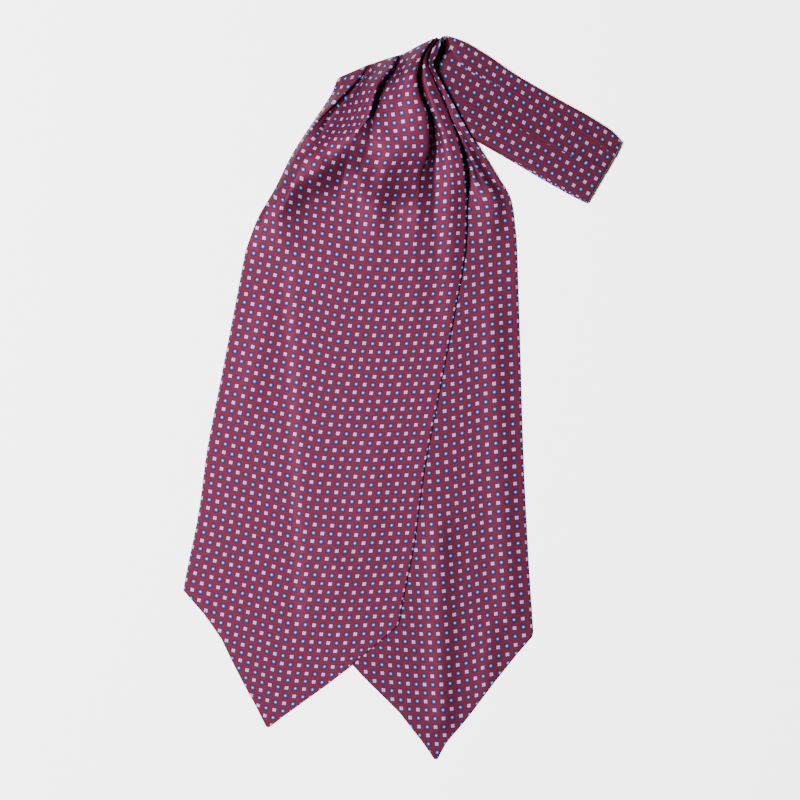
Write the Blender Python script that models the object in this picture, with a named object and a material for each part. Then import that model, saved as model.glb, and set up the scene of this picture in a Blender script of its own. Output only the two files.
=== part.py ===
"""Silk cravat laid flat: two wide pointed blades gathered into a pleated neckband.

The cravat is one strip of self-lined silk, folded in half at the centre back of the neck.
It is then folded over along a slanting neck fold, so that the front blade lies on the rear
blade and both point to -Y. Sizes are in millimetres here and become metres in makeSolid().
X runs across the blades, Y along them with the neck fold at the top, Z is up from the table.
"""
import bpy
import numpy as np

# ---- driving sizes, mm ---------------------------------------------------------------
WALL = 1.2                 # the two plies of silk with their seam allowance
PITCHES = 26               # the blade is 26 pattern repeats wide, each about 5.9 mm
TABLE_REST = WALL / 2      # height of a blade's middle layer where it lies on the table
OVER_REAR = 2.1            # and where the front blade lies on the rear blade
STEP_LENGTH = 8.0          # the front blade climbs onto the rear blade over this length
STEP_LEAD = 3.5            # and is up this far before the rear blade's edge
SEAM_GAP = 0.3             # between pieces where they are joined
FOLD_RUN = np.array((0.908, 0.418))     # the neck fold's direction, up to the right
FOLD_IN = np.array((0.418, -0.908))     # from the neck fold towards the blades
FRONT_FOLD = np.array((-29.1, 227.2))   # a point on the outer neck fold
REAR_FOLD = np.array((-21.4, 225.4))    # a point on the inner neck fold
FRONT_SEAM_DEPTH = 7.0     # the blades end this far under the fold, where the band begins
REAR_SEAM_DEPTH = 7.5
REAR_SEAM_HEIGHT = 3.4     # middle of the inner layer of the band
LIP = 1.3                  # run of the bend just under each fold
LIP_FALL = 0.7             # share of the way down to the seam that the bend drops
SEAM_FLAT = 2.0            # the blade lies level this far before its seam
NECK_FACES = 3             # faces between neighbouring sections of the neck
UNDER_FACES = [2, 1, 1]    # and from the fold edge to the lip, the level part and the seam
TIP_ROWS = 12              # rows of the mesh in each blade's point

# ---- front blade: neck sections ------------------------------------------------------
# One group per section, from the flat part up to the neck fold. The points are x, y, z on
# the lines that run down the blade, in the order: left edge, crest, hollow 1, rise, fold 2,
# hollow 2, shoulder, plateau, fold 3, hollow 3, ridge, right edge.
FRONT_NECK = (
    (  # where the gathers fade into the flat blade
        (-110, 102, 0.6), (-103, 100, 1.2), (-83.5, 96.5, 1.6), (-69, 92.5, 2.1),
        (-52, 88.5, 2.3), (-37.5, 85.5, 2.3), (-22.5, 84, 2.3), (-7.5, 83.5, 2.4),
        (7.5, 83.5, 3), (22.5, 84, 2.3), (31, 84, 3.4), (40, 85, 3),
    ),
    (
        (-102.5, 124, 0.6), (-99, 123, 2.6), (-89, 121, 4.4), (-69, 116.5, 2.6),
        (-48.5, 112, 2.4), (-34, 109.5, 2.4), (-22.5, 108, 3), (-7.5, 107, 2.9),
        (7.5, 106.5, 4), (22.5, 107, 2.6), (33, 108, 4.2), (43, 108.5, 3.6),
    ),
    (  # foot of the puff
        (-90, 146, 0.6), (-87, 144.5, 4.8), (-80, 141.5, 9), (-66.5, 138, 3.4),
        (-46.5, 135, 2.6), (-32, 132.5, 3), (-20, 131, 5.4), (-5, 129.5, 3),
        (10, 129, 5), (21.5, 129.5, 3.4), (32.5, 131, 5.4), (43.5, 132, 5),
    ),
    (
        (-78.5, 169, 0.6), (-75.5, 167, 6), (-69.5, 164, 10), (-58, 159.5, 11.4),
        (-42, 155, 4), (-31, 153, 5.4), (-18.5, 151, 13.4), (-4.5, 151, 12),
        (10, 151.5, 11.8), (21, 152.5, 5.6), (31.5, 154, 8.4), (42, 155.5, 8),
    ),
    (
        (-66.5, 188, 0.6), (-64.5, 186.5, 7.4), (-58.5, 182, 6.2), (-49, 179, 11.2),
        (-35.5, 178.5, 17.2), (-24, 175, 15.4), (-11, 173, 17.8), (4, 173, 18.4),
        (16.2, 173.5, 17.6), (23.5, 176.5, 7), (30, 177.5, 10.4), (37, 179, 9.6),
    ),
    (
        (-61, 196, 0.6), (-58.5, 194.5, 8), (-52.5, 194, 5), (-43, 193, 8.8),
        (-25, 193.5, 18.6), (-22, 190, 14.4), (-12, 189, 15.8), (4, 191, 19),
        (15.2, 193, 18.8), (19.4, 192.8, 8), (24.2, 194, 11.2), (31.5, 194, 10),
    ),
    (
        (-50.5, 212, 1.3), (-43, 210.5, 9.2), (-39.5, 208, 6), (-35, 209.5, 8.8),
        (-20.5, 211, 18.4), (-18, 208, 12), (-12, 207.5, 13.4), (1.5, 209, 18.4),
        (9.3, 209.5, 18.4), (13.2, 209, 9.4), (18, 211, 11.8), (24.5, 211, 10.6),
    ),
    (  # the crease at the top of the puff
        (-48.5, 216.5, 2.6), (-38, 215.5, 9.2), (-34.5, 213.8, 6.6), (-30, 216, 9),
        (-17.5, 217.5, 17.4), (-15, 215, 12), (-9.5, 217, 13.2), (1, 221, 17.6),
        (7.6, 221.5, 17.6), (11, 220.8, 10), (14.6, 221.6, 11.6), (20, 221, 10.8),
    ),
    (
        (-47, 220.4, 3.6), (-31.5, 222.8, 8), (-28, 222.6, 6.4), (-23.5, 225, 7.2),
        (-9.5, 228, 13.6), (-6.5, 226, 9.6), (-2.5, 228.5, 10.6), (4.5, 232, 13.6),
        (10.2, 234.2, 13.4), (12.2, 234.2, 10.8), (14.2, 234.6, 10.8), (16.2, 234.8, 10.4),
    ),
    (  # the outer neck fold
        (-45.2, 222.9, 2.7), (-25, 231.4, 4.4), (-22, 232.4, 4.2), (-18, 233.8, 4.4),
        (-4.5, 237.6, 6.4), (-1.5, 238.8, 5.8), (2.5, 240.6, 6), (10, 244.4, 7),
        (18.4, 248.2, 7.6), (20.2, 249, 7), (21.8, 249.6, 6.6), (23.4, 250.2, 6),
    ),
)
FRONT_SPANS = (3, 3, 3, 4, 3, 2, 3, 3, 3, 3, 3)     # faces between neighbouring lines

# ---- front blade: flat part ----------------------------------------------------------
# Rows are pattern repeats along the blade; the left edge runs down and slightly outwards.
FRONT_EDGE = (             # row, x, y
    (-16, -111.0, 101.5), (-8, -119.7, 55.8), (0, -128.6, 9.9), (8, -137.6, -36.4),
    (16, -143.9, -82.3), (24, -153.1, -128.0), (28, -156.8, -151.2), (39, -166.6, -210.3),
)
FRONT_ROW = (              # repeats from the left edge, x, y: a row sags towards its middle
    (0, 0.0, 0.0), (10, 56.7, -12.9), (13, 73.5, -17.1), (16, 91.7, -18.5),
    (19, 109.2, -19.2), (22, 127.4, -18.5), (25, 144.9, -17.8), (26, 150.9, -17.5),
)
ROW_SAG_GROWTH = 0.0075    # the sag grows by this share for each row down the blade
FRONT_FLAT_ROWS = (-13, -10, -7, -4, -1, 2, 5, 8, 11, 14, 17, 20, 23)
FRONT_SHARES = (0, 0.045, 0.15, 0.25, 0.36, 0.46, 0.56, 0.66, 0.765, 0.865, 0.935, 1)
FRONT_TIP = (              # row, left end, right end, both in repeats from the left edge
    (25.4, 0.2, 26.0), (26.4, 1.4, 25.3), (27.4, 2.9, 24.2), (29.8, 5.4, 21.7),
    (32.2, 7.1, 19.3), (34.7, 9.0, 16.6), (37.1, 11.0, 14.2), (38.9, 12.4, 12.65),
)

# ---- rear blade ----------------------------------------------------------------------
# The same from the flat part up, on the lines: left edge, fold 1, hollow 1, fold 2,
# hollow 2, floor, ridge, crease, right edge.
REAR_NECK = (
    (
        (-71.5, 106, 0.6), (-44.5, 104.5, 0.7), (-40, 104.5, 0.6), (-2.5, 104, 0.7),
        (1.5, 104, 0.6), (48, 108, 0.8), (61, 110, 1.2), (71, 111.5, 0.8),
        (78, 112.5, 0.6),
    ),
    (
        (-57, 127.5, 0.6), (-40, 128, 0.8), (-36.5, 128.5, 0.7), (-5, 129.5, 0.9),
        (-2, 130, 0.7), (46, 131.5, 1.1), (64, 133.5, 2.8), (70.5, 134.5, 1.3),
        (74.8, 135.5, 1),
    ),
    (
        (-47, 148.5, 0.6), (-32.5, 150, 1.4), (-29.5, 150.5, 0.8), (-4, 151, 1.6),
        (-1, 152, 0.8), (44, 153.5, 1.2), (54, 154.5, 4.8), (59.6, 156, 1.8),
        (63, 157, 2.2),
    ),
    (
        (-39.5, 172, 0.8), (-26, 172.5, 4.2), (-23.5, 173, 1.8), (-4, 174, 4.4),
        (-1, 175, 1.8), (36, 177.5, 2.2), (43.6, 178, 5.6), (46, 178.5, 5.4),
        (47.8, 179, 5.8),
    ),
    (  # over the band's lower edge
        (-34, 187, 2.4), (-22, 188, 6), (-19, 189, 3.6), (-4, 190.5, 6.2),
        (-1, 191.5, 4.2), (24, 193, 6.2), (33.5, 193.5, 7.6), (37, 194, 9),
        (40, 194.5, 9.8),
    ),
    (
        (-29, 203, 4), (-19, 204.5, 7.2), (-16.5, 205, 5.4), (-3, 206.5, 7.6),
        (-0.5, 207.5, 6), (15, 209, 6.4), (24.2, 211, 7.2), (27, 211.5, 9.4),
        (29, 212.5, 11),
    ),
    (
        (-23.5, 215, 6), (-15, 217.5, 8), (-12, 218, 6.6), (-1, 219, 8),
        (1.5, 221.5, 6.8), (12, 224, 7), (17.4, 226, 7.2), (19.8, 226.6, 10),
        (22, 227, 12.6),
    ),
    (
        (-22.6, 219, 5.9), (-14.2, 221.8, 7), (-11.4, 222.4, 6.3), (-0.6, 224.8, 7),
        (2, 226.8, 6.5), (12, 230.6, 6.6), (16.8, 233.2, 6.8), (20, 234.8, 9.4),
        (22.6, 236, 14.4),
    ),
    (  # the inner neck fold
        (-21.5, 224.5, 5.6), (-13, 227, 5.9), (-10.5, 228, 5.7), (0, 231.5, 5.9),
        (2.5, 232.6, 5.6), (12, 238, 5.6), (19, 242.4, 5.7), (23.8, 247, 7.6),
        (26.8, 249.2, 10),
    ),
)
REAR_SPANS = (2, 2, 3, 2, 4, 3, 3, 2)
REAR_EDGE = (              # row, x, y of the right edge
    (-22, 78.7, 100.4), (-10, 80.9, 29.1), (2, 83.0, -42.4), (14, 86.5, -113.8),
    (23, 90.0, -166.5), (36, 95.0, -243.6),
)
REAR_ROW = (               # repeats from the right edge, x, y
    (0, 0.0, 0.0), (2, -12.4, -1.4), (5, -30.6, -4.2), (8, -47.4, -8.4),
    (11, -65.6, -11.2), (14, -83.1, -11.2), (17, -100.6, -9.8), (20, -118.1, -8.4),
    (23, -135.2, -6.3), (26, -152.0, -3.5),
)
REAR_FLAT_ROWS = (-20, -14, -8, -2, 4, 10, 16)
REAR_SHARES = (0, 0.18, 0.21, 0.46, 0.49, 0.80, 0.887, 0.953, 1)
REAR_TIP = (               # row, left end, right end, both in repeats from the left edge
    (21.1, 0.0, 26.0), (23.1, 2.1, 26.0), (25.0, 4.1, 24.1), (26.8, 5.9, 22.4),
    (30.4, 9.7, 18.65), (33.8, 12.35, 15.1), (35.75, 13.6, 13.9),
)
REAR_LEFT_SIDE = ((-73.6, 85.0), (-64.4, -158.5))   # hidden left edge, under the front blade
REAR_LEFT_TIP = (22.0, -253.0)

# ---- neckband ------------------------------------------------------------------------
BAND_STATIONS = (          # top edge, two pleat lines and low edge at stations along the band
    ((40.7, 248.4), (43.8, 229.9), (30.2, 213.7), (18.6, 198.5)),
    ((56.0, 239.7), (59.6, 220.9), (46.6, 205.1), (36.1, 188.0)),
    ((75.5, 226.3), (78.1, 210.4), (62.7, 196.4), (50.8, 179.6)),
    ((104.2, 209.5), (101.9, 196.6), (87.9, 183.1), (75.3, 165.6)),
    ((130.1, 195.0), (123.6, 184.5), (111.0, 170.9), (101.2, 150.4)),
    ((144.7, 185.4), (138.3, 174.0), (128.6, 162.4), (118.0, 141.1)),
    ((151.3, 178.3), (146.2, 168.0), (139.6, 156.8), (127.6, 136.3)),
)
UPPER_TOP_CORNER = (29.5, 252.2)       # where each run starts, at the neck fold's top end
LOWER_TOP_CORNER = (27.4, 252.3)
UPPER_SEAM_STARTS = (55.6, 25.7, 6.0)  # pleat lines and low edge, along from REAR_FOLD
LOWER_SEAM_STARTS = (59.0, 30.0, 7.0)  # and from FRONT_FOLD
BAND_PROFILE = (           # strip, share across it, height of the upper face
    (0, 0.0, 3.5), (0, 0.07, 4.2), (0, 0.5, 4.5), (0, 0.955, 4.9),
    (1, 0.02, 4.1), (1, 0.5, 4.4), (1, 0.955, 4.8),
    (2, 0.02, 4.1), (2, 0.5, 4.3), (2, 0.93, 4.2), (2, 1.0, 3.5),
)
BAND_SHALLOW = 4.2         # under the blades the pleats are pressed down to this
LOWER_TOP = 2.0            # the two runs of the band, one on the other
UPPER_BOTTOM = LOWER_TOP + SEAM_GAP
LOWER_PROUD = 1.0          # the lower run shows this much past the upper one's low edge
BEND_REACH = 1.4           # the rounded centre-back fold stands out this far
BEND_ANGLES = np.radians((60, 30, 0, -30, -60))

WINE_RED = (0.30, 0.035, 0.075, 1.0)
WINE_SHADE = (0.25, 0.028, 0.062, 1.0)


def startEmpty():
    for old in list(bpy.data.objects):
        bpy.data.objects.remove(old, do_unlink=True)


def silk(name, colour):
    material = bpy.data.materials.new(name)
    material.use_nodes = True
    shader = material.node_tree.nodes["Principled BSDF"]
    shader.inputs["Base Color"].default_value = colour
    shader.inputs["Roughness"].default_value = 0.55
    shader.inputs["Metallic"].default_value = 0.0
    return material


def smoothRows(rows, counts):
    """Rows joined by a curve that passes through each and never overshoots."""
    rows = np.asarray(rows, dtype=float)
    steps = np.diff(rows, axis=0)
    product = steps[:-1] * steps[1:]
    total = steps[:-1] + steps[1:]
    total = np.where(product > 0, total, 1.0)
    middle = np.where(product > 0, 2 * product / total, 0.0)
    slopes = np.concatenate((steps[:1], middle, steps[-1:]))
    out = []
    for k, count in enumerate(counts):
        for t in np.arange(count) / count:
            out.append((2*t**3 - 3*t**2 + 1) * rows[k] + (t**3 - 2*t**2 + t) * slopes[k]
                       + (3*t**2 - 2*t**3) * rows[k+1] + (t**3 - t**2) * slopes[k+1])
    out.append(rows[-1])
    return np.array(out)


def alongTable(table, at):
    """Columns 1 and 2 of a table, read at a value of its column 0."""
    table = np.array(table)
    return np.array([np.interp(at, table[:, 0], table[:, c]) for c in (1, 2)])


def lineShares(shares, counts):
    """Shares across the blade for every column of the mesh."""
    return np.interp(np.linspace(0, 1, sum(counts) + 1),
                     np.concatenate(((0,), np.cumsum(counts))) / sum(counts), shares)


def frontRest(x, y):
    """Height of the front blade's middle layer: on the table, or on the rear blade."""
    (topX, topY), (cornerX, cornerY) = REAR_LEFT_SIDE
    side = np.array((topX - cornerX, topY - cornerY))
    left = -((x - cornerX) * side[1] - (y - cornerY) * side[0]) / np.hypot(*side)
    tip = np.array((REAR_LEFT_TIP[0] - cornerX, REAR_LEFT_TIP[1] - cornerY))
    below = ((x - cornerX) * tip[1] - (y - cornerY) * tip[0]) / np.hypot(*tip)
    outside = max(left, below)
    t = np.clip((outside - STEP_LEAD) / STEP_LENGTH, 0, 1)
    return OVER_REAR + (TABLE_REST - OVER_REAR) * (3*t**2 - 2*t**3)


def frontRow(row, start, end, shares):
    edge = alongTable(FRONT_EDGE, row)
    sag = 1 + ROW_SAG_GROWTH * max(row, 0)
    points = []
    for share in shares:
        x, y = edge + alongTable(FRONT_ROW, start + (end - start) * share) * (1, sag)
        points.append((x, y, frontRest(x, y)))
    return points


def rearRow(row, start, end, shares):
    edge = alongTable(REAR_EDGE, row)
    points = []
    for share in shares:
        x, y = edge + alongTable(REAR_ROW, PITCHES - start - (end - start) * share)
        points.append((x, y, TABLE_REST))
    return points


def underFold(edge, foldPoint, depth, height):
    """Rows that carry a blade round its neck fold, to the seam where the band begins."""
    edge = np.asarray(edge, dtype=float)
    lip = edge.copy()
    lip[:, :2] += FOLD_IN * LIP
    lip[:, 2] -= LIP_FALL * (edge[:, 2] - height)
    seam = edge.copy()
    run = (foldPoint - edge[:, :2]) @ FOLD_IN + depth
    seam[:, :2] += run[:, None] * FOLD_IN
    seam[:, 2] = height
    flat = seam.copy()
    flat[:, :2] -= FOLD_IN * SEAM_FLAT
    return [lip, flat, seam]


def bladeMiddle(neck, spans, foldPoint, depth, height, flatRows, tip, rowMaker, shares):
    """The blade's middle layer as a grid, from the seam under the fold to the tip."""
    across = [smoothRows(section, spans) for section in neck]
    across += underFold(across[-1], foldPoint, depth, height)
    counts = [NECK_FACES] * (len(neck) - 1) + UNDER_FACES
    gathered = smoothRows(across, counts)[::-1]
    columns = lineShares(shares, spans)
    flat = [rowMaker(row, 0, PITCHES, columns) for row in flatRows]
    tipRows = np.linspace(tip[0][0], tip[-1][0], TIP_ROWS)
    point = [rowMaker(row, *alongTable(tip, row), columns) for row in tipRows]
    return np.concatenate((gathered, np.array(flat), np.array(point)))


def tangents(grid):
    """Directions along the first axis: each is halfway between its two neighbouring runs."""
    runs = np.diff(grid, axis=0)
    runs /= np.linalg.norm(runs, axis=2, keepdims=True)
    return np.concatenate((runs[:1], runs[:-1] + runs[1:], runs[-1:]))


def facing(grid):
    """Unit normals of a grid of points, on its upper side where it lies flat."""
    down = tangents(grid)
    across = tangents(grid.swapaxes(0, 1)).swapaxes(0, 1)
    normal = np.cross(down, across)
    return normal / np.linalg.norm(normal, axis=2, keepdims=True)


def makeSolid(name, upper, lower, material):
    """One closed body between two grids of points of the same size."""
    rows, columns = upper.shape[:2]
    count = rows * columns
    points = np.concatenate((upper.reshape(-1, 3), lower.reshape(-1, 3))) / 1000
    faces = []
    for r in range(rows - 1):
        for c in range(columns - 1):
            a = r * columns + c
            quad = (a, a + columns, a + columns + 1, a + 1)
            faces.append(quad)
            faces.append(tuple(p + count for p in reversed(quad)))
    rim = list(range(columns))
    rim += [r * columns + columns - 1 for r in range(1, rows)]
    rim += [(rows - 1) * columns + c for c in range(columns - 2, -1, -1)]
    rim += [r * columns for r in range(rows - 2, 0, -1)]
    for a, b in zip(rim, rim[1:] + rim[:1]):
        faces.append((a, b, b + count, a + count))
    mesh = bpy.data.meshes.new(name)
    mesh.from_pydata([tuple(p) for p in points], [], faces)
    mesh.validate()
    mesh.shade_smooth()
    mesh.materials.append(material)
    solid = bpy.data.objects.new(name, mesh)
    bpy.context.collection.objects.link(solid)
    return solid


def makeFrontBlade(material):
    middle = bladeMiddle(FRONT_NECK, FRONT_SPANS, FRONT_FOLD, FRONT_SEAM_DEPTH, TABLE_REST,
                         FRONT_FLAT_ROWS, FRONT_TIP, frontRow, FRONT_SHARES)
    normal = facing(middle)
    return makeSolid("front_blade", middle + normal * WALL / 2, middle - normal * WALL / 2,
                     material)


def makeRearBlade(material):
    middle = bladeMiddle(REAR_NECK, REAR_SPANS, REAR_FOLD, REAR_SEAM_DEPTH, REAR_SEAM_HEIGHT,
                         REAR_FLAT_ROWS, REAR_TIP, rearRow, REAR_SHARES)
    normal = facing(middle)
    return makeSolid("rear_blade", middle + normal * WALL / 2, middle - normal * WALL / 2,
                     material)


def bandStart(corner, foldPoint, depth, starts):
    """A run's first station: its top corner, then points along the seam with a blade."""
    seam = [foldPoint + FOLD_RUN * along + FOLD_IN * (depth + SEAM_GAP) for along in starts]
    return np.array([corner] + [tuple(p) for p in seam])


def bandRow(station, proud):
    """Plan points across one station, for each column of the band's profile."""
    lines = np.array(station)
    lines[3] += proud * (lines[3] - lines[2]) / np.linalg.norm(lines[3] - lines[2])
    return np.array([lines[strip] + share * (lines[strip + 1] - lines[strip])
                     for strip, share, _ in BAND_PROFILE])


def atHeight(plan, height):
    heights = np.broadcast_to(height, (len(plan),))
    return np.column_stack((plan, heights))


def makeNeckband(material):
    heights = np.array([height for _, _, height in BAND_PROFILE])
    pressed = np.minimum(heights, BAND_SHALLOW)
    upperStart = bandStart(UPPER_TOP_CORNER, REAR_FOLD, REAR_SEAM_DEPTH, UPPER_SEAM_STARTS)
    lowerStart = bandStart(LOWER_TOP_CORNER, FRONT_FOLD, FRONT_SEAM_DEPTH, LOWER_SEAM_STARTS)
    upperPlan = [bandRow(s, 0) for s in (upperStart,) + BAND_STATIONS]
    lowerPlan = [bandRow(s, LOWER_PROUD) for s in (lowerStart,) + BAND_STATIONS]
    tops = [pressed] + [heights] * len(BAND_STATIONS)
    outer = [atHeight(plan, top) for plan, top in zip(upperPlan, tops)]
    inner = [atHeight(plan, UPPER_BOTTOM) for plan in upperPlan]
    end = np.array(BAND_STATIONS[-1])
    across = (end[3] - end[0]) / np.linalg.norm(end[3] - end[0])
    outward = np.array((-across[1], across[0]))
    slot = SEAM_GAP / 2
    for angle in BEND_ANGLES:
        blend = (1 - np.sin(angle)) / 2
        plan = upperPlan[-1] * (1 - blend) + lowerPlan[-1] * blend
        bulge = outward * np.cos(angle)
        outer.append(atHeight(plan + bulge * BEND_REACH, heights / 2 * (1 + np.sin(angle))))
        inner.append(atHeight(plan + bulge * slot, LOWER_TOP + slot * (1 + np.sin(angle))))
    outer += [atHeight(plan, 0.0) for plan in reversed(lowerPlan)]
    inner += [atHeight(plan, LOWER_TOP) for plan in reversed(lowerPlan)]
    return makeSolid("neckband", np.array(inner), np.array(outer), material)


startEmpty()
makeFrontBlade(silk("front_silk", WINE_RED))
makeRearBlade(silk("rear_silk", WINE_SHADE))
makeNeckband(silk("band_silk", WINE_SHADE))
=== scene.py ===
import bpy
import math
import numpy as np
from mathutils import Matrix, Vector


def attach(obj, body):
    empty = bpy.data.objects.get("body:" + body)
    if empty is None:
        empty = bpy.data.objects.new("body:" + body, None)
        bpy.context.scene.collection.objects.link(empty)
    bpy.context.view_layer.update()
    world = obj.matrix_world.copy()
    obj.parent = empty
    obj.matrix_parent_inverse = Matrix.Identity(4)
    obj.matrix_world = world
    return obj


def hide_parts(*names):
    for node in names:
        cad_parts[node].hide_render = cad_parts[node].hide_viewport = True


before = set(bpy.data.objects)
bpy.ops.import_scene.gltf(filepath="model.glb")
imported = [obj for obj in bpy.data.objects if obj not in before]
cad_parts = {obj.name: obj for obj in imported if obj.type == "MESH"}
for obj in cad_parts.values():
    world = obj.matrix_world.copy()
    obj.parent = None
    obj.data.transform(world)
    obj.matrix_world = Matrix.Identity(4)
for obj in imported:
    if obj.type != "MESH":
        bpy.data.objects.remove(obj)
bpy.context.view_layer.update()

# lengths are in millimetres until a mesh is made; pattern places are in repeats of the print
silk = {
    "repeat": 5.9,             # one printed motif to the next
    "thickness": 0.7,          # two plies, seamed at the edges and turned
    "edgeRound": 0.28,         # how far each ply's turned edge stands out
    "edgeHigh": 0.55,          # where it turns, as a share of the ply's thickness
    "edgeGroove": 0.10,        # the seam between the plies, drawn in
    "plyShow": 0.55,           # the lower ply shows this much past the front blade's right edge
    "plyBack": (0.35, 0.7),    # shares of it by which the upper ply and the seam draw back
    "plyShowEnds": (60, 110),  # it grows from nothing to all of it between these y
    "foldRadius": 0.62,        # of a knife pleat's edge, at the middle of the cloth
    "tuckMost": 6.0,           # how far a pleat's hidden cloth goes back under its edge
    "onTable": 0.45,           # height of a blade's middle layer on the table
    "onRear": 1.50,            # and of the front blade on the rear blade
}


def between(t, start, leaving, end, arriving):
    # a cubic from start to end, with its slopes there
    return ((2*t**3 - 3*t**2 + 1) * start + (t**3 - 2*t**2 + t) * leaving
            + (3*t**2 - 2*t**3) * end + (t**3 - t**2) * arriving)


def smoothAcross(points, counts):
    # a curve through every point whose bends stay between their neighbours
    points = np.asarray(points, dtype=float)
    gaps = np.linalg.norm(np.diff(points[:, :3], axis=0), axis=1) ** 0.5 + 1e-6
    slopes = np.empty_like(points)
    rate = np.diff(points, axis=0) / gaps[:, None]
    slopes[0], slopes[-1] = rate[0], rate[-1]
    before, after = gaps[:-1, None], gaps[1:, None]
    slopes[1:-1] = (rate[:-1] * after + rate[1:] * before) / (before + after)
    out = []
    for k, count in enumerate(counts):
        for t in np.arange(count) / count:
            out.append(between(t, points[k], slopes[k] * gaps[k],
                               points[k+1], slopes[k+1] * gaps[k]))
    out.append(points[-1])
    return np.array(out)


def smoothAlong(rows, counts):
    # rows joined by curves that never overshoot, so layers that lie close stay apart
    rows = np.asarray(rows, dtype=float)
    steps = np.diff(rows, axis=0)
    product, total = steps[:-1] * steps[1:], steps[:-1] + steps[1:]
    middle = np.where(product > 0, 2 * product / np.where(product > 0, total, 1.0), 0.0)
    slopes = np.concatenate((steps[:1], middle, steps[-1:]))
    out = []
    for k, count in enumerate(counts):
        for t in np.arange(count) / count:
            out.append(between(t, rows[k], slopes[k], rows[k+1], slopes[k+1]))
    out.append(rows[-1])
    return np.array(out)


def alongTable(table, at):
    # x and y of a table, read smoothly at a value of its first column
    table = np.array(table, dtype=float)
    place, values = table[:, 0], table[:, 1:]
    rate = np.diff(values, axis=0) / np.diff(place)[:, None]
    slopes = np.concatenate((rate[:1], (rate[:-1] + rate[1:]) / 2, rate[-1:]))
    k = int(np.clip(np.searchsorted(place, at, side="right") - 1, 0, len(place) - 2))
    step = place[k+1] - place[k]
    t = (at - place[k]) / step
    if t < 0:
        return values[0] + rate[0] * (at - place[0])
    if t > 1:
        return values[-1] + rate[-1] * (at - place[-1])
    return between(t, values[k], slopes[k] * step, values[k+1], slopes[k+1] * step)


def unit(v):
    return v / np.maximum(np.linalg.norm(v, axis=-1, keepdims=True), 1e-9)


def runsOf(grid):
    # direction along the first axis at every point of a grid
    runs = unit(np.diff(grid, axis=0))
    return np.concatenate((runs[:1], runs[:-1] + runs[1:], runs[-1:]))


def meshPiece(name, points, faces, prints):
    # points in mm; prints holds the print's i, j at every point
    mesh = bpy.data.meshes.new(name)
    mesh.from_pydata((points / 1000).tolist(), [], faces)
    layer = mesh.uv_layers.new(name="print")
    corner = np.empty(len(mesh.loops), dtype=np.int32)
    mesh.loops.foreach_get("vertex_index", corner)
    layer.uv.foreach_set("vector", prints[corner].astype(np.float32).ravel())
    mesh.shade_smooth()
    piece = bpy.data.objects.new(name, mesh)
    bpy.context.collection.objects.link(piece)
    return piece


def clothShell(name, grid, plyShow=0):
    # grid holds x, y, z in mm and the print's i, j; gives a closed two-ply shell
    rows, columns = grid.shape[:2]
    middle, printed = grid[:, :, :3], grid[:, :, 3:5]
    down, across = runsOf(middle), runsOf(middle.swapaxes(0, 1)).swapaxes(0, 1)
    normal = unit(np.cross(down, across))
    half = silk["thickness"] / 2
    # the rim goes once round: top row, right edge, bottom row, left edge
    rim = [(0, c) for c in range(columns)]
    rim += [(r, columns - 1) for r in range(1, rows)]
    rim += [(rows - 1, c) for c in range(columns - 2, -1, -1)]
    rim += [(r, 0) for r in range(rows - 2, 0, -1)]
    rimAt = np.array(rim)
    edge, up = middle[rimAt[:, 0], rimAt[:, 1]], normal[rimAt[:, 0], rimAt[:, 1]]
    around = unit(np.roll(edge, -1, axis=0) - np.roll(edge, 1, axis=0))
    outward = unit(np.cross(around, up)) * -1
    start, full = silk["plyShowEnds"]
    share = np.clip((edge[:, 1] - start) / (full - start), 0, 1)
    proud = np.where(rimAt[:, 1] == columns - 1, plyShow * share, 0.0)[:, None]
    upperBack, seamBack = silk["plyBack"]
    lift = up * half * silk["edgeHigh"]
    ring = [edge + outward * (silk["edgeRound"] - proud * upperBack) + lift,
            edge - outward * (silk["edgeGroove"] + proud * seamBack),
            edge + outward * (silk["edgeRound"] + proud) - lift]
    count, rimCount = rows * columns, len(rim)
    points = np.concatenate([(middle + normal * half).reshape(-1, 3),
                             (middle - normal * half).reshape(-1, 3)] + ring)
    prints = np.concatenate([printed.reshape(-1, 2)] * 2
                            + [printed[rimAt[:, 0], rimAt[:, 1]]] * 3)
    index = np.arange(count).reshape(rows, columns)
    a, b, c, d = index[:-1, :-1], index[1:, :-1], index[1:, 1:], index[:-1, 1:]
    top = np.stack((a, b, c, d), axis=-1).reshape(-1, 4)
    faces = np.concatenate((top, top[:, ::-1] + count)).tolist()
    loops = [rimAt[:, 0] * columns + rimAt[:, 1]]
    loops += [2 * count + k * rimCount + np.arange(rimCount) for k in range(3)]
    loops += [loops[0] + count]
    for high, low in zip(loops[:-1], loops[1:]):
        for k in range(rimCount):
            n = (k + 1) % rimCount
            faces.append((int(high[k]), int(high[n]), int(low[n]), int(low[k])))
    return meshPiece(name, points, faces, prints)


# the print's colours, for cloth in full light
printLook = {
    "ground": (0.061, 0.0090, 0.0360),     # wine red
    "groundRed": (0.092, 0.0076, 0.0180),  # where the red shows most, midway between motifs
    "petal": (0.36, 0.234, 0.465),         # pinkish white flowers
    "petalShade": (0.055, 0.0120, 0.040),
    "blue": (0.023, 0.032, 0.115),
    "blueHalo": (0.060, 0.090, 0.270),
    "blueDot": (0.46, 0.55, 0.92),
    "navy": (0.0130, 0.0055, 0.022),       # thin dark rims round the motifs
}
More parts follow.
